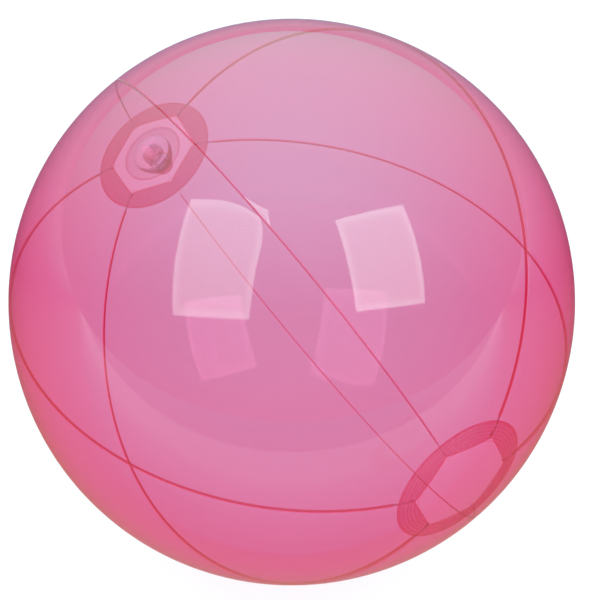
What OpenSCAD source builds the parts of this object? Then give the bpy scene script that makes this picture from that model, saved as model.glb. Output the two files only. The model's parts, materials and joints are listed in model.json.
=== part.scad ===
// Inflatable beach ball of clear tinted film, with a push-in inflation valve.
// The centre of the ball is the origin. The panels meet round the Y axis:
// the valve end faces +Y and the plain end faces -Y.

/* [Ball] */
// Inflated diameter over the panels
ball_d = 270; // [180:1:420]
// Thickness of the panel film
panel_t = 0.3; // [0.2:0.05:0.5]
// How far the welded edge of a panel stands into the ball
seam_fin = 1.2; // [0.8:0.1:3]
// Turn of the seams round the axis that joins the two ends
seam_turn = 7.7; // [0:0.1:59.9]

/* [End discs] */
// Diameter of the round film patch on each end
disc_d = 66; // [60:1:80]
// Thickness of the patch film
disc_t = 0.3; // [0.2:0.05:0.5]
// Width across the corners of the opening that the panel ends leave
opening_corners = 50; // [42:1:54]

/* [Valve seat] */
// Diameter of the flange that is welded inside the valve end disc
flange_d = 33; // [28:0.5:35]
// Thickness of the flange
flange_t = 0.8; // [0.5:0.1:1.5]
// Diameter of the recess that the stem sinks into
recess_d = 21.4; // [19.5:0.1:26]
// Diameter of the collar where it turns in at its foot
collar_foot_d = 17.2; // [14.4:0.1:19]
// Depth of the folded collar below the rim of the recess
collar_depth = 9.2; // [7.5:0.1:11]
// Wall of the collar
collar_t = 0.6; // [0.4:0.1:0.9]

/* [Stem] */
// Outside diameter of the stem
stem_d = 10; // [9:0.1:12]
// Length of the stem
stem_length = 12; // [10:0.5:16]
// Diameter of the bore that holds a pump's nozzle
nozzle_bore_d = 6.8; // [5.6:0.1:8.2]
// How much wider than the bore its mouth is all round, where the plug seats
seat_step = 0.2; // [0.1:0.05:0.4]
// How much deeper the mouth is than the plug's peg is long
seat_relief = 0.8; // [0.4:0.1:1.4]
// How far the lip of the stem stands out round its rim
lip_out = 0.5; // [0.3:0.1:0.8]
// Height of the lip
lip_h = 1.2; // [0.8:0.1:1.6]

/* [Plug] */
// Diameter of the plug's cap
cap_d = 11.6; // [11.2:0.1:12.6]
// Thickness of the cap
cap_t = 1.6; // [1.2:0.1:2]
// How far the cap sits below the top of the ball when the valve is pushed in
cap_sink = 0.8; // [0.4:0.1:2]
// Length of the peg under the cap
peg_length = 4.2; // [3:0.1:4.4]
// How much narrower all round the peg is at its nose than at its root
peg_taper = 1.3; // [1.2:0.1:1.8]
// Clearance all round between the peg's root and its seat
peg_clearance = 0.1; // [0.05:0.01:0.2]
// How far the finger tab stands out past the cap
tab_out = 2.2; // [1.4:0.1:2.8]
// Width of the finger tab
tab_w = 4.6; // [3:0.1:6]

/* [Strap] */
// Width of the strap that ties the plug to the stem
strap_w = 3.6; // [2.4:0.1:4.4]
// Thickness of the strap
strap_t = 0.6; // [0.4:0.1:0.8]
// Distance from the edge of the cap or the lip to the strap's fold line
fold_out = 1; // [0.8:0.1:1.4]
// Turn of the strap and the plug round the stem
strap_turn = 90; // [0:1:359]

/* [Check flap] */
// How far the flap covers the rim of the stem's inner end all round
flap_overlap = 1; // [0.5:0.1:1.4]
// Width of the straight edge that the flap hangs from
flap_root_w = 5; // [3:0.1:6]
// Thickness of the flap
flap_t = 0.5; // [0.3:0.1:0.8]

/* [Hidden] */

$fn = 96;
ball_fn = 240;

panel_count = 6;
panel_angle = 360 / panel_count;
ball_r = ball_d / 2;
inner_r = ball_r - panel_t;
disc_outer_r = ball_r + disc_t;

// The panel ends are cut straight, so the opening they leave has flat sides
opening_flat = opening_corners / 2 * cos(panel_angle / 2);

// Clearance between parts that are moulded against each other but move
fit_gap = 0.05;
// Cutters run past what they cut by this much
past = 1;

// Heights along the axis of the valve, from the centre of the ball
collar_rim_z = sqrt(pow(ball_r, 2) - pow(recess_d / 2, 2));
collar_foot_z = collar_rim_z - collar_depth;
collar_neck = 1.2;
rim_z = ball_r - cap_sink - cap_t;
stem_foot_z = rim_z - stem_length;
cap_mid_z = rim_z + cap_t / 2;
seat_floor_z = rim_z - peg_length - seat_relief;

// The mouth of the bore, and the peg that fits it
plug_seat_d = nozzle_bore_d + 2 * seat_step;
peg_root_d = plug_seat_d - 2 * peg_clearance;
peg_nose_d = peg_root_d - 2 * peg_taper;

// The plug's hinge is the fold in its strap, clear of both cap and lip
lip_d = stem_d + 2 * lip_out;
hinge_x = max(cap_d, lip_d) / 2 + fold_out;

// The check flap hinges just past its round edge
flap_d = nozzle_bore_d + 2 * flap_overlap;
flap_hinge_x = flap_d / 2 + 0.5;

// Colours of the clear film, of two layers of it, and of the moulded valve
film = [0.93, 0.42, 0.68, 0.35];
film_double = [0.88, 0.30, 0.58, 0.5];
moulding = [0.93, 0.52, 0.72, 0.7];

// Everything is drawn with the ball's axis along Z, and then laid along Y
module laid() {
    rotate([-90, 0, 0]) children();
}

// A shell of film between two radii
module shell(r_out, r_in) {
    difference() {
        sphere(r_out, $fn = ball_fn);
        sphere(r_in, $fn = ball_fn);
    }
}

// The wedge of space that one panel fills, cut straight across at both ends
module panel_wedge() {
    reach = disc_outer_r + past;
    half_w = reach * tan(panel_angle / 2);
    linear_extrude(2 * reach, center = true)
        polygon([
            [opening_flat, -opening_flat * tan(panel_angle / 2)],
            [reach, -half_w],
            [reach, half_w],
            [opening_flat, opening_flat * tan(panel_angle / 2)]
        ]);
}

// The strip along one edge of a panel that its welded fin stands in. It is as
// wide as two films, and the wedge of the panel keeps its own half of it.
module fin_strip(side) {
    rotate([0, 0, side * panel_angle / 2])
        translate([opening_flat / 2, -panel_t, -ball_r])
            cube([ball_r, 2 * panel_t, 2 * ball_r]);
}

// One panel: a lune of film with a fin turned in along each of its edges
module panel(index) {
    color(film) laid() rotate([0, 0, seam_turn + (index - 0.5) * panel_angle])
        intersection() {
            panel_wedge();
            union() {
                shell(ball_r, inner_r);
                for (side = [-1, 1])
                    intersection() {
                        shell(ball_r, inner_r - seam_fin);
                        fin_strip(side);
                    }
            }
        }
}

// A round patch of film on the outside of the panel ends, at +Z
module disc_film() {
    intersection() {
        shell(disc_outer_r, ball_r);
        cylinder(d = disc_d, h = disc_outer_r + past);
    }
}

module valve_end_disc() {
    color(film_double) laid() difference() {
        disc_film();
        cylinder(d = recess_d, h = disc_outer_r + past);
    }
}

module plain_end_disc() {
    color(film_double) laid() mirror([0, 0, 1]) disc_film();
}

// The flange follows the inside of the disc film, with the recess through it
module valve_flange() {
    color(moulding) laid() intersection() {
        shell(ball_r, ball_r - flange_t);
        difference() {
            cylinder(d = flange_d, h = ball_r + past);
            cylinder(d = recess_d, h = ball_r + past);
        }
    }
}

// The thin cup that folds in with the stem and turns inside out with it.
// Outside it runs straight down from the flange, tapers in, and turns under
// at its foot to meet the stem.
module valve_collar() {
    top_r = recess_d / 2;
    foot_r = collar_foot_d / 2;
    bore_r = stem_d / 2 + fit_gap;
    turn = 2 * collar_t;
    color(moulding) laid() rotate_extrude()
        polygon([
            [top_r, collar_rim_z],
            [top_r, collar_rim_z - collar_neck],
            [foot_r, collar_foot_z + turn],
            [foot_r - turn / 2, collar_foot_z],
            [bore_r, collar_foot_z],
            [bore_r, collar_foot_z + collar_t],
            [foot_r - turn, collar_foot_z + collar_t],
            [foot_r - collar_t, collar_foot_z + turn],
            [top_r - collar_t, collar_rim_z - collar_neck],
            [top_r - collar_t, collar_rim_z]
        ]);
}

module valve_stem() {
    color(moulding) laid() difference() {
        union() {
            translate([0, 0, stem_foot_z]) cylinder(d = stem_d, h = stem_length);
            translate([0, 0, rim_z - lip_h])
                cylinder(d = lip_d, h = lip_h);
        }
        translate([0, 0, stem_foot_z - past])
            cylinder(d = nozzle_bore_d, h = stem_length);
        translate([0, 0, seat_floor_z])
            cylinder(d = plug_seat_d, h = rim_z - seat_floor_z + past);
    }
}

// A cap with a finger tab, and a tapered peg that swings clear of its seat
module valve_plug() {
    color(moulding) laid() rotate([0, 0, strap_turn]) {
        translate([0, 0, rim_z]) {
            cylinder(d = cap_d, h = cap_t);
            linear_extrude(cap_t) plug_tab();
        }
        translate([0, 0, rim_z - peg_length])
            cylinder(d1 = peg_nose_d, d2 = peg_root_d, h = peg_length);
    }
}

// Outline of the finger tab, opposite the strap
module plug_tab() {
    tab_end = cap_d / 2 + tab_out - tab_w / 2;
    translate([0, -tab_w / 2]) square([tab_end, tab_w]);
    translate([tab_end, 0]) circle(d = tab_w);
}

// A band from the stem, up round the fold and in to the edge of the cap
module plug_strap() {
    out_x = -hinge_x - strap_t / 2;
    low_z = rim_z - lip_h - 1.4;
    top_z = cap_mid_z + strap_t / 2;
    color(moulding) laid() rotate([0, 0, strap_turn]) difference() {
        rotate([90, 0, 0]) linear_extrude(strap_w, center = true)
            polygon([
                [0, low_z],
                [out_x + strap_t, low_z],
                [out_x, low_z + strap_t],
                [out_x, top_z - strap_t],
                [out_x + strap_t, top_z],
                [0, top_z],
                [0, top_z - strap_t],
                [out_x + strap_t, top_z - strap_t],
                [out_x + strap_t, low_z + strap_t],
                [0, low_z + strap_t]
            ]);
        translate([0, 0, stem_foot_z])
            cylinder(r = stem_d / 2 + fit_gap, h = rim_z - stem_foot_z);
        translate([0, 0, rim_z]) cylinder(d = cap_d, h = cap_t);
    }
}

// A round flap with a straight root, which is its hinge, on the strap's side
module check_flap() {
    color(moulding) laid() rotate([0, 0, strap_turn])
        translate([0, 0, stem_foot_z - fit_gap - flap_t])
            linear_extrude(flap_t) {
                circle(d = flap_d);
                translate([-flap_hinge_x, -flap_root_w / 2]) square([flap_hinge_x, flap_root_w]);
            }
}

panel(1);  // panel_1
panel(2);  // panel_2
panel(3);  // panel_3
panel(4);  // panel_4
panel(5);  // panel_5
panel(6);  // panel_6
valve_end_disc();
plain_end_disc();
valve_flange();
valve_collar();
valve_stem();
valve_plug();
plug_strap();
check_flap();
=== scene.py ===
# %% [markdown]
# # An inflatable beach ball in clear pink film
#
# The ball is six panels of thin clear vinyl, welded edge to edge, with a round disc of the same
# film welded over the panel ends at each pole. One disc carries a small moulded valve. The
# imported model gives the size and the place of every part. This script loads it as a fixed
# frame, and then makes each part again in finer detail, in the same place.

# %% Load the frame
import bpy
import json
import math
from mathutils import Matrix, Vector


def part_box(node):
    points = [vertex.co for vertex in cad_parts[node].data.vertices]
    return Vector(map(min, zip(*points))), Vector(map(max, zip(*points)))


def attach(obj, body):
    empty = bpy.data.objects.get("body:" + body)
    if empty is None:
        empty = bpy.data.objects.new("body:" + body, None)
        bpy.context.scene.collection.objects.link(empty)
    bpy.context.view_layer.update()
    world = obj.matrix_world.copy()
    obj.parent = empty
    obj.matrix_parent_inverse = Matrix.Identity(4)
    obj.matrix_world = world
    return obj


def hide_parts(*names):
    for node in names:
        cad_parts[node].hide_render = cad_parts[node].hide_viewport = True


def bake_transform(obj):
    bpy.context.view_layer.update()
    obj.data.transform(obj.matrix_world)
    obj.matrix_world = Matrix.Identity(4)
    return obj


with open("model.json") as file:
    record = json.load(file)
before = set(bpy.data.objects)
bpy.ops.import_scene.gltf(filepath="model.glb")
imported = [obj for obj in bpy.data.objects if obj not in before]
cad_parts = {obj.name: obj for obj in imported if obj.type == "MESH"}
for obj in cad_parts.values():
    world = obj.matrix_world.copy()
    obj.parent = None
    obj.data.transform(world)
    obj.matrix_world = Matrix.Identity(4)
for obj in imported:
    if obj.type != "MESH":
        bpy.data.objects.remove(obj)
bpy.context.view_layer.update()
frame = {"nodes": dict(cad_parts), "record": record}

MM = 0.001

# %% [markdown]
# ## Measures from the frame
#
# The ball's axis lies along Y, with the valve at +Y. The radius is how far the underside mount
# is from the centre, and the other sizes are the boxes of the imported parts. They could be
# typed in again, but a size that is read can't drift away from the part that it belongs to.

# %% Read the sizes
mounts = {mount["name"]: mount for mount in frame["record"]["mounts"]}
ball_r = -mounts["underside"]["pos_m"][2]
bore_r = mounts["nozzle_bore"]["dims"]["r_mm"] * MM

disc_low, disc_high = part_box("plain_end_disc")
collar_low, collar_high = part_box("valve_collar")
stem_low, stem_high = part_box("valve_stem")
plug_low, plug_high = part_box("valve_plug")
strap_low, strap_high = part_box("plug_strap")
flap_low, flap_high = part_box("check_flap")

disc_r = disc_high.x
flange_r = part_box("valve_flange")[1].x
collar_top_r = collar_high.x
film_t = -disc_low.y - ball_r
print("ball radius", round(ball_r, 4), "film", round(film_t, 5), "disc radius", round(disc_r, 4))


# %% [markdown]
# The seams are found from the first packed panel. It is a wedge of the sphere, so the two ends
# of its sweep about the axis are its seams, and its flat ends give the size of the opening
# that is left at each pole.

# %% Find the seams
def turn_of(point):
    """How far a point is turned about the ball's axis, from +Z towards +X, in radians."""
    return math.atan2(point[0], point[2])


def facing(turn):
    """The direction square to the axis at that turn."""
    return Vector((math.sin(turn), 0, math.cos(turn)))


points = [v.co.copy() for v in frame["nodes"]["panel_1"].data.vertices]
about = turn_of(sum(points, Vector()))
sweep = [math.remainder(turn_of(p) - about, math.tau) for p in points]
mid_turn = about + (min(sweep) + max(sweep)) / 2
half_sweep = (max(sweep) - min(sweep)) / 2
opening_flat = min(p.dot(facing(mid_turn)) for p in points)
fin_deep = ball_r - min(p.length for p in points)
PANELS = round(math.pi / half_sweep)
print("panels", PANELS, "middle of the first", round(math.degrees(mid_turn), 2),
      "opening", round(opening_flat, 4), "fin", round(fin_deep, 5))

# %% [markdown]
# ## Camera
#
# The camera looks down on the ball from the front left, about halfway up. The lens is a mild
# telephoto from close by, so the near side is drawn a little larger, as by eye. A small shift
# of the lens centres the ball in the frame.

# %% Set the camera
CAMERA_AZIMUTH, CAMERA_ELEVATION = -33.6, 45.1
CAMERA_DISTANCE = 5.8 * ball_r
SENSOR, LENS = 36, 97.2
SHIFT_X, SHIFT_Y = 0.0138, 0.0033


def direction(azimuth, elevation):
    """A direction from the ball's centre, in degrees from -Y towards +X, and upwards."""
    a, e = math.radians(azimuth), math.radians(elevation)
    return Vector((math.sin(a) * math.cos(e), -math.cos(a) * math.cos(e), math.sin(e)))


towards_camera = direction(CAMERA_AZIMUTH, CAMERA_ELEVATION)
bpy.ops.object.camera_add(location=towards_camera * CAMERA_DISTANCE)
camera = bpy.context.object
camera.rotation_mode = "QUATERNION"
camera.rotation_quaternion = towards_camera.to_track_quat("Z", "Y")
camera.data.sensor_width = SENSOR
camera.data.lens = LENS
camera.data.shift_x, camera.data.shift_y = SHIFT_X, SHIFT_Y
camera.data.clip_start = 10 * MM
bpy.context.scene.camera = camera
print("camera at", [round(v, 3) for v in camera.location])

# %% [markdown]
# ## Clear film
#
# Thin vinyl hardly bends the light, so it could be glass, but a sphere of glass walls takes
# many bounces and turns dark. Here each face of the film lets the light straight on and dyes
# it, and a weak mirror on its outer side gives the gloss. Both are mixed in the material, since
# Fresnel and Layer Weight have to stay there. A ray that grazes the film goes further through
# the dye, so the colour deepens towards the edge of the ball. A mirror on the back of a face
# would turn total past a shallow angle, so Backfacing switches it off there.
#
# Dust, wipes and the slight waviness of the sheet are the same in every vinyl part, so they
# are one node group, which each material gets with its own values. The noise is in the
# object's own metres, so a scale is the number of spots in a metre.

# %% Group: how a vinyl surface varies
WIPE_SCALE, GRAIN_SCALE, WAVE_SCALE = 34.0, 1500.0, 60.0

surface = bpy.data.node_groups.new("vinyl_surface", "ShaderNodeTree")
for socket_name, value in (
    ("Roughness", 0.03), ("Wipes", 0.04), ("Wave size", WAVE_SCALE), ("Grain", 0.1),
):
    socket = surface.interface.new_socket(
        socket_name, in_out="INPUT", socket_type="NodeSocketFloat")
    socket.default_value = value
for socket_name in ("Roughness", "Height"):
    surface.interface.new_socket(socket_name, in_out="OUTPUT", socket_type="NodeSocketFloat")


def add(tree, kind, **settings):
    """A node of that kind, with its settings and, by name, its input values."""
    made = tree.nodes.new(kind)
    for key, value in settings.items():
        if hasattr(made, key):
            setattr(made, key, value)
        else:
            made.inputs[key.replace("_", " ")].default_value = value
    return made


def join(tree, *pairs):
    """Links each (output, input) pair."""
    for source, target in pairs:
        tree.links.new(source, target)


group_in = add(surface, "NodeGroupInput")
group_out = add(surface, "NodeGroupOutput")
place = add(surface, "ShaderNodeTexCoord")
wipes = add(surface, "ShaderNodeTexNoise", Scale=WIPE_SCALE, Detail=5.0, Distortion=1.2)
wave = add(surface, "ShaderNodeTexNoise", Detail=1.0)
grain = add(surface, "ShaderNodeTexNoise", Scale=GRAIN_SCALE, Detail=2.0)
wiped = add(surface, "ShaderNodeMath", operation="MULTIPLY_ADD")
grained = add(surface, "ShaderNodeMath", operation="MULTIPLY_ADD")
join(
    surface,
    (place.outputs["Object"], wipes.inputs["Vector"]),
    (place.outputs["Object"], wave.inputs["Vector"]),
    (place.outputs["Object"], grain.inputs["Vector"]),
    (group_in.outputs["Wave size"], wave.inputs["Scale"]),
    (wipes.outputs["Fac"], wiped.inputs[0]),
    (group_in.outputs["Wipes"], wiped.inputs[1]),
    (group_in.outputs["Roughness"], wiped.inputs[2]),
    (grain.outputs["Fac"], grained.inputs[0]),
    (group_in.outputs["Grain"], grained.inputs[1]),
    (wave.outputs["Fac"], grained.inputs[2]),
    (wiped.outputs["Value"], group_out.inputs["Roughness"]),
    (grained.outputs["Value"], group_out.inputs["Height"]),
)
print("group", surface.name, [s.name for s in surface.interface.items_tree])

# %% [markdown]
# The dye is given for a whole wall, which has two faces, so each face takes the square root.
# A longer way through the dye is a power of the same colour. A weld is two films deep and
# pressed dark, so its material is the same recipe with a higher power. The dye takes green and
# blue. Red is only lost to the slight haze of a wall, so it has a value of its own, which
# doesn't grow with the depth.

# %% Material: dyed film
DYE_GREEN, DYE_BLUE = 0.45, 0.627
GRAZING_PATH = 1.45
GRAZING_CURVE = 0.6875
SLANTED_RED = 0.96
MIRROR_IOR = 1.6
GRAIN_SHARE = 0.02
WAVE_STRENGTH = 0.02


def dye(power, red):
    """The colour that one face lets through, with the dye laid on that many times."""
    return (red, DYE_GREEN ** (0.5 * power), DYE_BLUE ** (0.5 * power), 1)


def clear_vinyl(name, depth=1.0, red=0.913, grazing=GRAZING_PATH, roughness=0.03, wipes=0.03,
                ior=MIRROR_IOR):
    """Clear dyed vinyl: straight light through the dye, under a weak mirror."""
    material = bpy.data.materials.new(name)
    material.use_nodes = True
    tree = material.node_tree
    tree.nodes.clear()
    vary = add(tree, "ShaderNodeGroup", node_tree=surface, Roughness=roughness, Wipes=wipes,
               Grain=GRAIN_SHARE)
    bump = add(tree, "ShaderNodeBump", Strength=WAVE_STRENGTH, Distance=MM)
    straight = add(tree, "ShaderNodeBsdfTransparent", Color=dye(depth, red))
    slanted = add(tree, "ShaderNodeBsdfTransparent", Color=dye(depth * grazing, SLANTED_RED))
    slant = add(tree, "ShaderNodeLayerWeight", Blend=GRAZING_CURVE)
    through = add(tree, "ShaderNodeMixShader")
    mirror = add(tree, "ShaderNodeBsdfGlossy")
    fresnel = add(tree, "ShaderNodeFresnel", IOR=ior)
    side = add(tree, "ShaderNodeNewGeometry")
    front = add(tree, "ShaderNodeMath", operation="SUBTRACT")
    front.inputs[0].default_value = 1
    shine = add(tree, "ShaderNodeMath", operation="MULTIPLY")
    film = add(tree, "ShaderNodeMixShader")
    out = add(tree, "ShaderNodeOutputMaterial")
    join(
        tree,
        (vary.outputs["Roughness"], mirror.inputs["Roughness"]),
        (vary.outputs["Height"], bump.inputs["Height"]),
        (bump.outputs["Normal"], mirror.inputs["Normal"]),
        (slant.outputs["Facing"], through.inputs["Fac"]),
        (straight.outputs["BSDF"], through.inputs[1]),
        (slanted.outputs["BSDF"], through.inputs[2]),
        (side.outputs["Backfacing"], front.inputs[1]),
        (fresnel.outputs["Fac"], shine.inputs[0]),
        (front.outputs["Value"], shine.inputs[1]),
        (shine.outputs["Value"], film.inputs["Fac"]),
        (through.outputs["Shader"], film.inputs[1]),
        (mirror.outputs["BSDF"], film.inputs[2]),
        (film.outputs["Shader"], out.inputs["Surface"]),
    )
    print("material", name, "one face lets through", [round(c, 3) for c in dye(depth, red)[:3]])
    return material


# %% [markdown]
# Film and welds come first. The valve is moulded, not rolled, so its parts have more wipes. Its
# flange sticks to the disc and hardly shows, apart from the thick bead round its edge. The
# collar and the stem are seen edge on, so a higher index gives the collar a bright rim.

# %% Mix the finishes
panel_film = clear_vinyl("panel_film")
disc_film = clear_vinyl("disc_film", depth=0.95, red=0.975)
weld_film = clear_vinyl("weld_film", depth=1.7, red=0.98, roughness=0.4)
ring_film = clear_vinyl("weld_ring_film", depth=1.9, red=0.975, roughness=0.05)

MOULD_WIPES = 0.08
flange_clear = clear_vinyl(
    "flange_moulding", depth=0.08, red=0.99, grazing=5.0, wipes=MOULD_WIPES)
bead_clear = clear_vinyl("bead_moulding", depth=0.9, red=0.95, grazing=2.0, wipes=MOULD_WIPES)
collar_clear = clear_vinyl(
    "collar_moulding", depth=1.15, red=0.96, grazing=1.2, wipes=MOULD_WIPES, ior=2.0)
moulding = clear_vinyl(
    "clear_moulding", depth=0.45, red=0.96, grazing=2.6, roughness=0.06, wipes=MOULD_WIPES)


# %% [markdown]
# ## Working by hand, in code
#
# An operator acts on what is selected, so each step selects first. These helpers do what a
# hand would: take one object, pick vertices, edges or faces by where they are, extrude and
# scale them, and draw an outline point by point that is then spun round the ball's axis, as on
# a lathe.

# %% Selecting
def take(piece):
    """Selects one object, and nothing else."""
    if bpy.context.object and bpy.context.object.mode == "EDIT":
        bpy.ops.object.mode_set(mode="OBJECT")
    bpy.ops.object.select_all(action="DESELECT")
    piece.select_set(True)
    bpy.context.view_layer.objects.active = piece


def pick(piece, kind, wanted):
    """Enters edit mode with only the vertices, edges or polygons whose points are all wanted."""
    bpy.ops.object.mode_set(mode="EDIT")
    bpy.ops.mesh.select_mode(type={"vertices": "VERT", "edges": "EDGE", "polygons": "FACE"}[kind])
    bpy.ops.mesh.select_all(action="DESELECT")
    bpy.ops.object.mode_set(mode="OBJECT")
    mesh = piece.data
    for item in getattr(mesh, kind):
        corners = [item.index] if kind == "vertices" else item.vertices
        item.select = all(wanted(mesh.vertices[i].co) for i in corners)
    bpy.ops.object.mode_set(mode="EDIT")


# %% Shaping what is selected
ONE_PLACE = 0.001 * MM


def extrude(*move):
    """Extrudes the selection, and moves the new part."""
    bpy.ops.mesh.extrude_region_move(TRANSFORM_OT_translate={"value": move})


def scale_about(centre, *factors):
    """Scales the selection about a point."""
    bpy.ops.transform.resize(value=factors, center_override=centre)


def merge_doubles():
    """Makes one point of all that lie in one place."""
    bpy.ops.mesh.select_all(action="SELECT")
    bpy.ops.mesh.remove_doubles(threshold=ONE_PLACE)


def face_outwards():
    """Turns every face outwards, and leaves edit mode."""
    bpy.ops.mesh.select_all(action="SELECT")
    bpy.ops.mesh.normals_make_consistent(inside=False)
    bpy.ops.object.mode_set(mode="OBJECT")


# %% Finishing an object
SMOOTH_BELOW = 40


def settle(piece):
    """Bakes the object's place, turn and scale into its mesh."""
    take(piece)
    bpy.ops.object.transform_apply(location=True, rotation=True, scale=True)


def modify(piece, kind, **settings):
    """Adds a modifier and applies it at once."""
    take(piece)
    modifier = piece.modifiers.new(kind.title(), kind)
    for key, value in settings.items():
        setattr(modifier, key, value)
    bpy.ops.object.modifier_apply(modifier=modifier.name)


def two_finishes(piece, most, some, wanted):
    """Gives the piece one material, and the wanted faces a second one."""
    piece.data.materials.append(most)
    piece.data.materials.append(some)
    pick(piece, "polygons", wanted)
    piece.active_material_index = 1
    bpy.ops.object.material_slot_assign()
    bpy.ops.object.mode_set(mode="OBJECT")


def hand_in(piece, body, node, slot, *materials):
    """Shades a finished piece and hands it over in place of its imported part."""
    take(piece)
    bpy.ops.object.shade_smooth_by_angle(angle=math.radians(SMOOTH_BELOW))
    for material in materials:
        piece.data.materials.append(material)
    if body:
        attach(piece, body)
    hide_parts(node)
    print(piece.name, "faces", len(piece.data.polygons), "on", body)


# %% Outlines, the lathe and round blanks
def outline(name, path, corner=0.0, segments=4, closed=True):
    """Draws (distance from the axis, height) points in the plane x = 0, and rounds the corners."""
    bpy.ops.object.select_all(action="DESELECT")
    bpy.ops.mesh.primitive_plane_add(size=MM, location=(0, path[0][1], path[0][0]))
    piece = bpy.context.object
    piece.name = piece.data.name = name
    settle(piece)
    bpy.ops.object.mode_set(mode="EDIT")
    bpy.ops.mesh.select_mode(type="VERT")
    bpy.ops.mesh.select_all(action="SELECT")
    bpy.ops.mesh.merge(type="CENTER")
    stops = path + path[:1] if closed else path
    for (r, y), (r_next, y_next) in zip(stops, stops[1:]):
        extrude(0, y_next - y, r_next - r)
    merge_doubles()
    if corner:
        bpy.ops.mesh.select_all(action="SELECT")
        bpy.ops.mesh.bevel(offset=corner, segments=segments, affect="VERTICES")
    return piece


def lathe(steps=96):
    """Spins the outline in hand once round the ball's axis and closes its seam and poles."""
    bpy.ops.mesh.select_all(action="SELECT")
    bpy.ops.mesh.spin(steps=steps, angle=math.tau, center=(0, 0, 0), axis=(0, 1, 0))
    merge_doubles()
    face_outwards()


def round_blank(name, radius, low, high, sides):
    """A short cylinder on the ball's axis, between two heights."""
    bpy.ops.object.select_all(action="DESELECT")
    bpy.ops.mesh.primitive_cylinder_add(
        vertices=sides, radius=radius, depth=high - low, location=(0, (high + low) / 2, 0),
        rotation=(-math.pi / 2, 0, 0))
    piece = bpy.context.object
    piece.name = piece.data.name = name
    settle(piece)
    return piece


# %% [markdown]
# ## A panel
#
# The real panel is a flat leaf of film, cut with curved sides and blunt ends. Blown up, it
# becomes a wedge of the sphere. It could be cut from a sphere, but then its columns wouldn't
# follow the seams. Here one line of longitude is swung about the axis, in short steps by the
# seams, where the film dips, and in long ones between. The blunt ends are then sliced off, and
# a second slice marks out the narrow strip that is welded there.

# %% Swing one line of longitude into a wedge
NEAR_SEAM = (1.0, 1.1, 1.6, 2.3)
MIDDLE_STEPS = 20
RING_POINTS = 240
SPARE_END = 0.8
END_WELD = 0.55 * MM
seam_turn = mid_turn - half_sweep

bpy.ops.object.select_all(action="DESELECT")
bpy.ops.mesh.primitive_circle_add(
    vertices=RING_POINTS, radius=ball_r, fill_type="NOTHING",
    rotation=(0, seam_turn - math.pi / 2, 0))
panel = bpy.context.object
panel.name = panel.data.name = "clear_panel_1"
settle(panel)
pick(panel, "vertices", lambda p: p.dot(facing(seam_turn)) < SPARE_END * opening_flat)
bpy.ops.mesh.delete(type="VERT")
bpy.ops.mesh.select_all(action="SELECT")
near = [(degrees, 1) for degrees in NEAR_SEAM]
middle = (math.degrees(2 * half_sweep) - 2 * sum(NEAR_SEAM), MIDDLE_STEPS)
for degrees, steps in near + [middle] + near[::-1]:
    bpy.ops.mesh.spin(steps=steps, angle=math.radians(degrees), center=(0, 0, 0), axis=(0, -1, 0))
merge_doubles()
for flat, cut_off in ((opening_flat, True), (opening_flat + END_WELD, False)):
    bpy.ops.mesh.select_all(action="SELECT")
    bpy.ops.mesh.bisect(
        plane_co=facing(mid_turn) * flat, plane_no=facing(mid_turn), clear_inner=cut_off,
        threshold=ONE_PLACE)
face_outwards()
outward = sum(1 for f in panel.data.polygons if f.normal.dot(f.center) > 0)
print("panel faces", len(panel.data.polygons), "outward", outward)

# %% [markdown]
# Air pushes the middle of each panel out further than its welded edge, so the ball dips a
# little along each seam. Each column near a seam is scaled towards the centre by its share.

# %% Draw the film in towards the seams
SEAM_DIP = 0.06 * MM
DIP_REACH = 2.2 * MM
COLUMN_WIDE = math.radians(0.1)


def seam_planes():
    """The direction square to each seam plane of the first panel."""
    return [facing(mid_turn + side * (half_sweep + math.pi / 2)) for side in (-1, 1)]


def seam_offset(point):
    """How far a point is from the nearer seam plane of the first panel."""
    return min(abs(point.dot(across)) for across in seam_planes())


def scale_to(height, from_height):
    """Scales the selection about the ball's centre, from one distance to another."""
    share = height / from_height
    scale_about((0, 0, 0), share, share, share)


offset = 0.0
for degrees in (0.0, *NEAR_SEAM):
    offset += degrees
    dip = SEAM_DIP * math.exp(-ball_r * math.radians(offset) / DIP_REACH)
    turned = half_sweep - math.radians(offset)
    pick(panel, "vertices", lambda p: abs(
        abs(math.remainder(turn_of(p) - mid_turn, math.tau)) - turned) < COLUMN_WIDE)
    scale_to(ball_r - dip, ball_r)
    print("column", round(offset, 1), "degrees from the seam, drawn in", round(dip / MM, 3), "mm")

# %% [markdown]
# The welded edge is turned into the ball and stands there as a low fin. The edge of the wedge
# is extruded, and scaled towards the centre. The corner between film and fin is beveled, so
# two panels meet in a small rounded groove. Each edge also keeps a hair's breadth from the
# seam plane, because two faces in exactly one place would fight for the same light. Under the
# end discs the press has laid the fins lower, apart from their last millimetre.

# %% Turn the edges in
SEAM_GAP = 0.01 * MM
ON_PLANE = 0.005 * MM
ON_FOLD = 0.05 * MM
FIN_CORNER = 0.38 * MM
FIN_END = 1.0 * MM
PRESSED_FIN = 0.75 * MM
fold_height = ball_r - SEAM_DIP

pick(panel, "edges", lambda p: seam_offset(p) < ON_PLANE)
extrude(0, 0, 0)
scale_to(ball_r - fin_deep, fold_height)
for across in seam_planes():
    pick(panel, "vertices", lambda p: abs(p.dot(across)) < ON_PLANE)
    inward = -across if across.dot(facing(mid_turn)) < 0 else across
    bpy.ops.transform.translate(value=inward * SEAM_GAP)

pick(panel, "edges", lambda p: (
    seam_offset(p) < 2 * SEAM_GAP and abs(p.length - fold_height) < ON_FOLD))
bpy.ops.mesh.bevel(offset=FIN_CORNER, segments=3)

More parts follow.
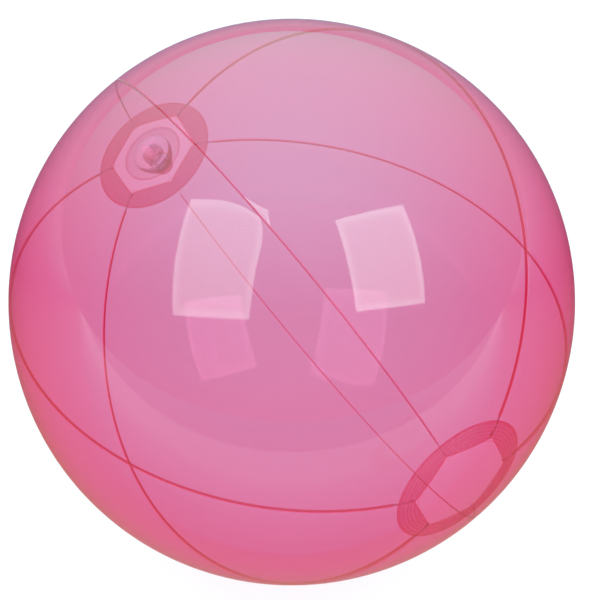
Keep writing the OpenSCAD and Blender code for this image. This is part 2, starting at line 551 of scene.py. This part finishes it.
end_r = opening_flat / math.cos(half_sweep)
pick(panel, "vertices", lambda p: (
    p.length < ball_r - 0.8 * fin_deep and end_r + FIN_END < math.hypot(p.x, p.z) < disc_r))
scale_to(ball_r - PRESSED_FIN, ball_r - fin_deep)
bpy.ops.object.mode_set(mode="OBJECT")
print("panel faces with fins", len(panel.data.polygons))

# %% [markdown]
# Now the sheet gets its thickness, inwards from the outer face. The fin, the fold and the blunt
# ends are where the film was welded, so those faces get the darker material. Under the discs
# the seams melt into one sheet and hardly show, so there they keep the film's own.

# %% Give the panel its wall and its welded edges
WELD_HALF = 0.45 * MM


def welded(point):
    """Whether a point of the first panel is on a seam outside the discs, or on a blunt end."""
    under_disc = math.hypot(point.x, point.z) < disc_r
    return ((seam_offset(point) < WELD_HALF and not under_disc)
            or point.dot(facing(mid_turn)) < opening_flat + END_WELD + SEAM_GAP)


modify(panel, "SOLIDIFY", thickness=film_t, offset=-1, use_rim=True)
two_finishes(panel, panel_film, weld_film, welded)
welded_faces = sum(1 for f in panel.data.polygons if f.material_index == 1)
print("welded faces", welded_faces, "of", len(panel.data.polygons))

# %% [markdown]
# The other panels are the same leaf, turned about the axis. Each copy has its own mesh, and
# its turn is baked into it, so every piece stands at the origin unturned.
#
# Smooth shading would spread the bend of the narrow fold over the whole column beside it, and
# a lamp's image in the film would curl up at every seam. Normals weighted by the size of the
# faces keep most of that bend inside the fold.

# %% Copy the panel round the ball
panels = [panel]
for index in range(1, PANELS):
    take(panel)
    bpy.ops.object.duplicate(linked=False)
    copy = bpy.context.object
    copy.name = copy.data.name = f"clear_panel_{index + 1}"
    copy.rotation_euler = (0, index * math.tau / PANELS, 0)
    settle(copy)
    panels.append(copy)
for index, piece in enumerate(panels, 1):
    hand_in(piece, "ball", f"panel_{index}", "panel_film")
    modify(piece, "WEIGHTED_NORMAL", keep_sharp=True)

# %% [markdown]
# ## The end discs
#
# A disc of film covers the six blunt ends at each pole. The weld press leaves fine rings in
# it. They could be a bump, but they catch the light at the edge of the ball, so they are real
# grooves: the outline falls and rises, and one spin makes all of them. The film is squeezed
# dark at the foot of each groove and at the rim.

# %% Draw and spin a disc
RING_FROM, RING_PITCH, RING_DEEP = 22.5 * MM, 1.7 * MM, 0.12 * MM
RING_STEP, PLAIN_STEPS = 0.2 * MM, 8
PLAIN_RIM, DARK_RIM = 0.5 * MM, 0.45 * MM
DARK_FROM = 0.15
LIFT = 0.03 * MM
DISC_STEPS = 144


def on_ball(radius, r):
    """A point of a sphere of that radius, at that distance from the axis."""
    return (r, math.sqrt(radius ** 2 - r ** 2))


def groove(r):
    """How deep the weld rings are pressed in at that distance from the axis."""
    if not RING_FROM < r < disc_r - PLAIN_RIM:
        return 0.0
    swing = math.cos(math.tau * (r - RING_FROM) / RING_PITCH)
    return RING_DEEP * (0.5 - 0.5 * swing) ** 3


def disc_outline(hole, sign):
    """Out along the outer face with its rings, round the edge, and back along the inner face."""
    fine = [RING_FROM + RING_STEP * i for i in range(int((disc_r - RING_FROM) / RING_STEP))]
    coarse = [hole + (RING_FROM - hole) * i / PLAIN_STEPS for i in range(PLAIN_STEPS)]
    top = [on_ball(ball_r + film_t - groove(r), r) for r in coarse + fine]
    edge = [on_ball(ball_r + 0.6 * film_t, disc_r), on_ball(ball_r + 0.3 * film_t, disc_r)]
    under = [on_ball(ball_r + LIFT, r) for r in reversed(coarse + fine[::4])]
    return [(r, sign * y) for r, y in top + edge + under]


def squeezed(point):
    """Whether a point is in the foot of a groove or at the rim."""
    r = math.hypot(point.x, point.z)
    return groove(r) > DARK_FROM * RING_DEEP or r > disc_r - DARK_RIM


for name, node, hole, sign in (
    ("plain_disc", "plain_end_disc", 0, -1), ("valve_disc", "valve_end_disc", collar_top_r, 1),
):
    disc = outline(name, disc_outline(hole, sign))
    lathe(DISC_STEPS)
    two_finishes(disc, disc_film, ring_film, squeezed)
    hand_in(disc, "ball", node, "disc_film")

# %% [markdown]
# ## The valve
#
# The valve is moulded in soft clear vinyl. To blow the ball up, its stem is pulled out, and the
# thin collar round it turns inside out. All of these parts are round, so each is an outline
# with rounded corners, spun about the axis.
#
# The flange is the foot that is welded under the disc. It is thin, with a thicker bead round
# its edge, which shows as a ring through the film. It gets a material of its own.

# %% The flange
FLANGE_T = 0.8 * MM
FLANGE_WEB = 0.7
BEAD = 0.9 * MM
MOULD_CORNER = 0.15 * MM

flange = outline("valve_flange_ring", [
    on_ball(ball_r - LIFT, collar_top_r),
    on_ball(ball_r - LIFT, flange_r),
    on_ball(ball_r - FLANGE_T, flange_r),
    on_ball(ball_r - FLANGE_T, flange_r - BEAD),
    on_ball(ball_r - FLANGE_WEB * FLANGE_T, flange_r - 1.5 * BEAD),
    on_ball(ball_r - FLANGE_WEB * FLANGE_T, collar_top_r),
], corner=MOULD_CORNER)
lathe()
two_finishes(flange, flange_clear, bead_clear,
             lambda p: math.hypot(p.x, p.z) > flange_r - 1.1 * BEAD)
hand_in(flange, "ball", "valve_flange", "valve_moulding")

# %% [markdown]
# The collar is a thin cup that hangs in the flange, tapers a little, folds under at its foot and
# ends at the stem. It could be moved with the stem as one rigid piece, but then it would come away
# from the flange. So it is put on no body, and its place is baked into its mesh. Extra points
# along the outline would let it turn inside out smoothly.

# %% The collar
COLLAR_T = 0.6 * MM
COLLAR_TOP = 0.05 * MM
COLLAR_STRAIGHT = 2.0 * MM
FOOT_HIGH, FOOT_IN = 2.2 * MM, 1.4 * MM
FOOT_R = 8.6 * MM
STEM_WALL = 1.6 * MM
STEM_GAP = 0.06 * MM
stem_r = bore_r + STEM_WALL
foot_y = collar_low.y
rim_y = collar_high.y
wall = COLLAR_T / 2

collar = outline("folding_collar", [
    (collar_top_r - wall, rim_y - COLLAR_TOP),
    (collar_top_r - wall, rim_y - COLLAR_STRAIGHT),
    (FOOT_R - wall, foot_y + FOOT_HIGH),
    (FOOT_R - FOOT_IN, foot_y + wall),
    (stem_r + STEM_GAP, foot_y + wall),
], corner=0.9 * MM, segments=6, closed=False)
bpy.ops.mesh.select_all(action="SELECT")
bpy.ops.mesh.subdivide(number_cuts=2)
lathe()
modify(collar, "SOLIDIFY", thickness=COLLAR_T, offset=0, use_even_offset=True)
hand_in(collar, None, "valve_collar", "valve_moulding", collar_clear)
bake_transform(collar)

# %% [markdown]
# The stem is the tube that is blown through. A lip round its rim gives the fingers a hold, and
# its mouth is a little wider than the bore, as a seat for the plug's peg. A cylinder with a
# hole would miss the lip and the seat, so it is spun as well.

# %% The stem
LIP_T, LIP_UNDER = 1.1 * MM, 1.5 * MM
SEAT_DEEP, SEAT_FOOT = 5.0 * MM, 5.2 * MM
SEAT_EASE = 0.2 * MM
STEM_STEPS = 72
lip_r = stem_high.x
seat_r = bore_r + SEAT_EASE

stem = outline("valve_stem_tube", [
    (bore_r, stem_low.y),
    (stem_r, stem_low.y),
    (stem_r, stem_high.y - LIP_UNDER),
    (lip_r, stem_high.y - LIP_T),
    (lip_r, stem_high.y),
    (seat_r, stem_high.y),
    (seat_r, stem_high.y - SEAT_DEEP),
    (bore_r, stem_high.y - SEAT_FOOT),
], corner=MOULD_CORNER)
lathe(STEM_STEPS)
hand_in(stem, "stem", "valve_stem", "valve_moulding", moulding)

# %% [markdown]
# ## The plug, its strap and the flap
#
# The plug is a round cap with a tab for the finger on one side and a tapered peg below. It
# starts as a short cylinder. The peg is inset and extruded from the underside, the top is
# dimpled, and only then is the tab extruded from the side: an inset that took in the narrow tab
# as well would cross over itself there. A bevel then rounds every hard edge.

# %% The cap, its peg and its tab
TAB_HALF = 2.3 * MM
PEG_ROOT, PEG_NOSE = 3.5 * MM, 2.2 * MM
DIMPLE_WIDE, DIMPLE_DEEP, DIMPLE_TAPER = 0.55, 0.4 * MM, 0.85
ON_FACE = 0.01 * MM
HARD_EDGE = math.radians(35)
cap_r = (plug_high.x - plug_low.x) / 2
cap_low, cap_high = stem_high.y, plug_high.y

plug = round_blank("stopper_plug", cap_r, cap_low, cap_high, 48)
pick(plug, "polygons", lambda p: abs(p.y - cap_low) < ON_FACE)
bpy.ops.mesh.inset(thickness=cap_r - PEG_ROOT, depth=0)
extrude(0, plug_low.y - cap_low, 0)
scale_about((0, plug_low.y, 0), PEG_NOSE / PEG_ROOT, 1, PEG_NOSE / PEG_ROOT)

pick(plug, "polygons", lambda p: abs(p.y - cap_high) < ON_FACE)
bpy.ops.mesh.inset(thickness=cap_r - DIMPLE_WIDE * cap_r, depth=0)
extrude(0, -DIMPLE_DEEP, 0)
scale_about((0, cap_high, 0), DIMPLE_TAPER, 1, DIMPLE_TAPER)

pick(plug, "polygons", lambda p: abs(p.x) < TAB_HALF + 0.1 * MM and p.z < -0.8 * cap_r)
extrude(0, 0, plug_low.z + cap_r)
bpy.ops.object.mode_set(mode="OBJECT")
modify(plug, "BEVEL", width=0.22 * MM, segments=3, limit_method="ANGLE", angle_limit=HARD_EDGE)
hand_in(plug, "plug", "valve_plug", "valve_moulding", moulding)

# %% [markdown]
# The strap is a band that runs up from the stem and folds over to the cap. It bends where the plug
# is folded back, so it is drawn as a line with rounded corners, drawn out sideways to a band, and
# thickened. Like the collar, it is put on no body, and its place is baked into its mesh.

# %% The strap
STRAP_T = 0.6 * MM
STRAP_COLUMNS = 4
strap_half = (strap_high.x - strap_low.x) / 2
fold_z = strap_high.z - STRAP_T / 2
strap = outline("plug_strap_band", [
    (stem_r + 0.1 * MM, strap_low.y + STRAP_T / 2),
    (fold_z, strap_low.y + STRAP_T / 2),
    (fold_z, strap_high.y - STRAP_T / 2),
    (cap_r + 0.05 * MM, strap_high.y - STRAP_T / 2),
], corner=0.8 * MM, segments=6, closed=False)
bpy.ops.mesh.select_all(action="SELECT")
bpy.ops.transform.translate(value=(-strap_half, 0, 0))
for _ in range(STRAP_COLUMNS):
    extrude(2 * strap_half / STRAP_COLUMNS, 0, 0)
face_outwards()
modify(strap, "SOLIDIFY", thickness=STRAP_T, offset=0, use_even_offset=True)
modify(strap, "BEVEL", width=0.12 * MM, segments=2, limit_method="ANGLE",
       angle_limit=math.radians(50))
hand_in(strap, None, "plug_strap", "valve_moulding", moulding)
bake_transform(strap)

# %% [markdown]
# The flap is a thin leaf at the stem's inner end. Air in the ball presses it shut. It hangs by
# its straight top edge, which is drawn out of the side of a round blank and flattened there.

# %% The check flap
FLAP_EDGE_HALF = 2.5 * MM
flap_r = flap_high.x
flap = round_blank("air_check_flap", flap_r, flap_low.y, flap_high.y, 64)
pick(flap, "polygons", lambda p: abs(p.x) < FLAP_EDGE_HALF and p.z > 0.8 * flap_r)
extrude(0, 0, flap_high.z - flap_r)
scale_about((0, 0, flap_high.z), 1, 1, 0)
bpy.ops.object.mode_set(mode="OBJECT")
modify(flap, "BEVEL", width=0.1 * MM, segments=2, limit_method="ANGLE", angle_limit=HARD_EDGE)
hand_in(flap, "flap", "check_flap", "valve_moulding", moulding)

# %% [markdown]
# ## Studio
#
# Clear film shows mostly what is behind it, so the floor and the lamps are half the picture.
# The floor is plain white paper. It gives off light of its own, because the paper in a studio
# is lit from all sides until it is pure white.
#
# The ball also mirrors the paper, and that mirror image is painted. A ray that comes off a mirror,
# which Light Path tells, meets the paper as bands of colour, laid across the line of sight. There
# is a painted bright reflection of the paper in front, a painted dark pink shadow of the ball with
# its own painted pink light on the paper around it, and painted grey shade further off, where
# black cloths would stand beside the set. The cloths could be modelled, but they would stand in
# the picture from other sides.

# %% The floor
FLOOR_SIZE = 14
FLOOR_DROP = 0.1 * MM
bpy.ops.object.select_all(action="DESELECT")
bpy.ops.mesh.primitive_plane_add(size=FLOOR_SIZE, location=(0, 0, -ball_r - FLOOR_DROP))
floor = bpy.context.object
floor.name = "floor"
print("floor at", round(floor.location.z, 4))

# %% Material: white paper
PAPER_COLOUR = (0.20, 0.18, 0.18, 1)
PAPER_GLOW = 0.82
# Strength, reach and bands of the painted reflection of the paper: bright in front, a painted dark
# pink shadow and pink light round the ball, and painted grey shade further off.
PAINTED_REFLECTION_GLOW = 1.65
BAND_REACH = 1.2
PAINTED_REFLECTION_BANDS = (
    (0.0, (0.55, 0.55, 0.55)),
    (0.14, (0.55, 0.55, 0.55)),
    (0.175, (1.0, 1.0, 1.0)),
    (0.31, (0.95, 0.95, 0.95)),
    (0.415, (0.5, 0.33, 0.34)),
    (0.5, (0.48, 0.18, 0.15)),
    (0.58, (0.34, 0.06, 0.13)),
    (0.75, (0.36, 0.3, 0.42)),
    (1.0, (0.45, 0.5, 0.58)),
)
view_away = Vector((-towards_camera.x, -towards_camera.y, 0)).normalized()

paper = bpy.data.materials.new("pale_paper")
paper.use_nodes = True
tree = paper.node_tree
paper_bsdf = tree.nodes["Principled BSDF"]
for socket_name, value in (
    ("Base Color", PAPER_COLOUR), ("Roughness", 0.9), ("Specular IOR Level", 0.0),
    ("Emission Color", (1, 1, 1, 1)), ("Emission Strength", PAPER_GLOW),
):
    paper_bsdf.inputs[socket_name].default_value = value

place = add(tree, "ShaderNodeTexCoord")
along = add(tree, "ShaderNodeVectorMath", operation="DOT_PRODUCT")
along.inputs[1].default_value = view_away
reach = add(tree, "ShaderNodeMapRange", From_Min=-BAND_REACH, From_Max=BAND_REACH)
ramp = add(tree, "ShaderNodeValToRGB")
while len(ramp.color_ramp.elements) < len(PAINTED_REFLECTION_BANDS):
    ramp.color_ramp.elements.new(0.5)
for element, (position, colour) in zip(ramp.color_ramp.elements, PAINTED_REFLECTION_BANDS):
    element.position = position
    element.color = (*colour, 1)
# The painted reflection, given off only to rays that come off a mirror.
painted_reflection = add(tree, "ShaderNodeEmission", Strength=PAINTED_REFLECTION_GLOW)
rays = add(tree, "ShaderNodeLightPath")
both = add(tree, "ShaderNodeMixShader")
join(
    tree,
    (place.outputs["Object"], along.inputs[0]),
    (along.outputs["Value"], reach.inputs["Value"]),
    (reach.outputs["Result"], ramp.inputs["Fac"]),
    (ramp.outputs["Color"], painted_reflection.inputs["Color"]),
    (rays.outputs["Is Glossy Ray"], both.inputs["Fac"]),
    (paper_bsdf.outputs["BSDF"], both.inputs[1]),
    (painted_reflection.outputs["Emission"], both.inputs[2]),
    (both.outputs["Shader"], tree.nodes["Material Output"].inputs["Surface"]),
)
floor.data.materials.append(paper)
print("paper", len(PAINTED_REFLECTION_BANDS), "bands within", BAND_REACH, "m of the ball")


# %% [markdown]
# Two big soft boxes, high up on both sides of the camera, are seen as bright windows in the
# film, once the right way up and once upside down in the far wall. The hem of each cloth is
# brighter than its middle, so the lamp's strength rises over the last part of its width and
# height.

# %% The soft boxes
LAMP_COLOUR = (0.66, 0.97, 0.84)
LAMP_DISTANCE = 2.0
HEM_FROM, HEM_LEVELS = (0.4, 0.46), (0.9, 1.25)


def soft_box(name, azimuth, elevation, roll, wide, high, power):
    """A rectangular lamp that looks at the ball, turned about its own axis by roll degrees."""
    away = direction(azimuth, elevation)
    bpy.ops.object.light_add(type="AREA", location=away * LAMP_DISTANCE)
    lamp = bpy.context.object
    lamp.name = name
    lamp.rotation_mode = "QUATERNION"
    rolled = Matrix.Rotation(math.radians(roll), 4, "Z").to_quaternion()
    lamp.rotation_quaternion = away.to_track_quat("Z", "Y") @ rolled
    lamp.data.shape = "RECTANGLE"
    lamp.data.size, lamp.data.size_y = wide, high
    lamp.data.energy = power
    lamp.data.color = LAMP_COLOUR
    lamp.data.use_nodes = True
    tree = lamp.data.node_tree
    cloth = add(tree, "ShaderNodeNewGeometry")
    centred = add(tree, "ShaderNodeVectorMath", operation="SUBTRACT")
    centred.inputs[1].default_value = (0.5, 0.5, 0)
    folded = add(tree, "ShaderNodeVectorMath", operation="ABSOLUTE")
    apart = add(tree, "ShaderNodeSeparateXYZ")
    outer = add(tree, "ShaderNodeMath", operation="MAXIMUM")
    hem = add(tree, "ShaderNodeMapRange", From_Min=HEM_FROM[0], From_Max=HEM_FROM[1],
              To_Min=HEM_LEVELS[0], To_Max=HEM_LEVELS[1])
    join(
        tree,
        (cloth.outputs["Parametric"], centred.inputs[0]),
        (centred.outputs["Vector"], folded.inputs[0]),
        (folded.outputs["Vector"], apart.inputs[0]),
        (apart.outputs["X"], outer.inputs[0]),
        (apart.outputs["Y"], outer.inputs[1]),
        (outer.outputs["Value"], hem.inputs["Value"]),
        (hem.outputs["Result"], tree.nodes["Emission"].inputs["Strength"]),
    )
    print(name, "at", [round(v, 2) for v in lamp.location])


soft_box("left_soft_box", azimuth=-82.1, elevation=51.7, roll=29.5, wide=1.1, high=1.52, power=20)
soft_box("front_soft_box", azimuth=22.7, elevation=48.1, roll=-30.8, wide=0.99, high=1.24,
         power=17.5)

# %% [markdown]
# The rest of the room is a wide bright ceiling over the far side, and a faint warm glow from
# behind the camera. Each one is a broad lobe, brightest in its own direction, so the film gets
# a soft sheen that fades round the ball, without hard edges. A line of sight crosses many
# faces of film, and each counts as a bounce, so many are allowed.

# %% The room
OVERHEAD = math.radians(55)
ROOM_STRENGTH = 0.2
MOST_FACES = 64

world = bpy.data.worlds.new("studio_room")
world.use_nodes = True
room = world.node_tree
room.nodes.clear()
ray = add(room, "ShaderNodeTexCoord")


def lobe(below, towards, power, colour, strength):
    """Adds a broad light from one direction to the room's light so far."""
    facing_it = add(room, "ShaderNodeVectorMath", operation="DOT_PRODUCT")
    facing_it.inputs[1].default_value = towards
    kept = add(room, "ShaderNodeMath", operation="MAXIMUM")
    kept.inputs[1].default_value = 0
    shaped = add(room, "ShaderNodeMath", operation="POWER")
    shaped.inputs[1].default_value = power
    scaled = add(room, "ShaderNodeMath", operation="MULTIPLY")
    scaled.inputs[1].default_value = strength
    glow = add(room, "ShaderNodeBackground", Color=(*colour, 1))
    both = add(room, "ShaderNodeAddShader")
    join(
        room,
        (ray.outputs["Generated"], facing_it.inputs[0]),
        (facing_it.outputs["Value"], kept.inputs[0]),
        (kept.outputs["Value"], shaped.inputs[0]),
        (shaped.outputs["Value"], scaled.inputs[0]),
        (scaled.outputs["Value"], glow.inputs["Strength"]),
        (glow.outputs["Background"], both.inputs[0]),
        (below.outputs[0], both.inputs[1]),
    )
    return both


plain_room = add(room, "ShaderNodeBackground", Color=(1, 1, 1, 1), Strength=ROOM_STRENGTH)
overhead = view_away * math.cos(OVERHEAD) + Vector((0, 0, math.sin(OVERHEAD)))
ceiling = lobe(plain_room, overhead, power=1.5, colour=(0.17, 1.04, 1.0), strength=3.35)
whole_room = lobe(ceiling, -view_away, power=2.0, colour=(2.3, 0.75, 0.65), strength=0.65)
room_out = add(room, "ShaderNodeOutputWorld")
join(room, (whole_room.outputs[0], room_out.inputs["Surface"]))

scene = bpy.context.scene
scene.world = world
scene.view_settings.view_transform = "Standard"
scene.cycles.transparent_max_bounces = MOST_FACES
print("room", world.name, "brightest towards", [round(v, 2) for v in overhead])
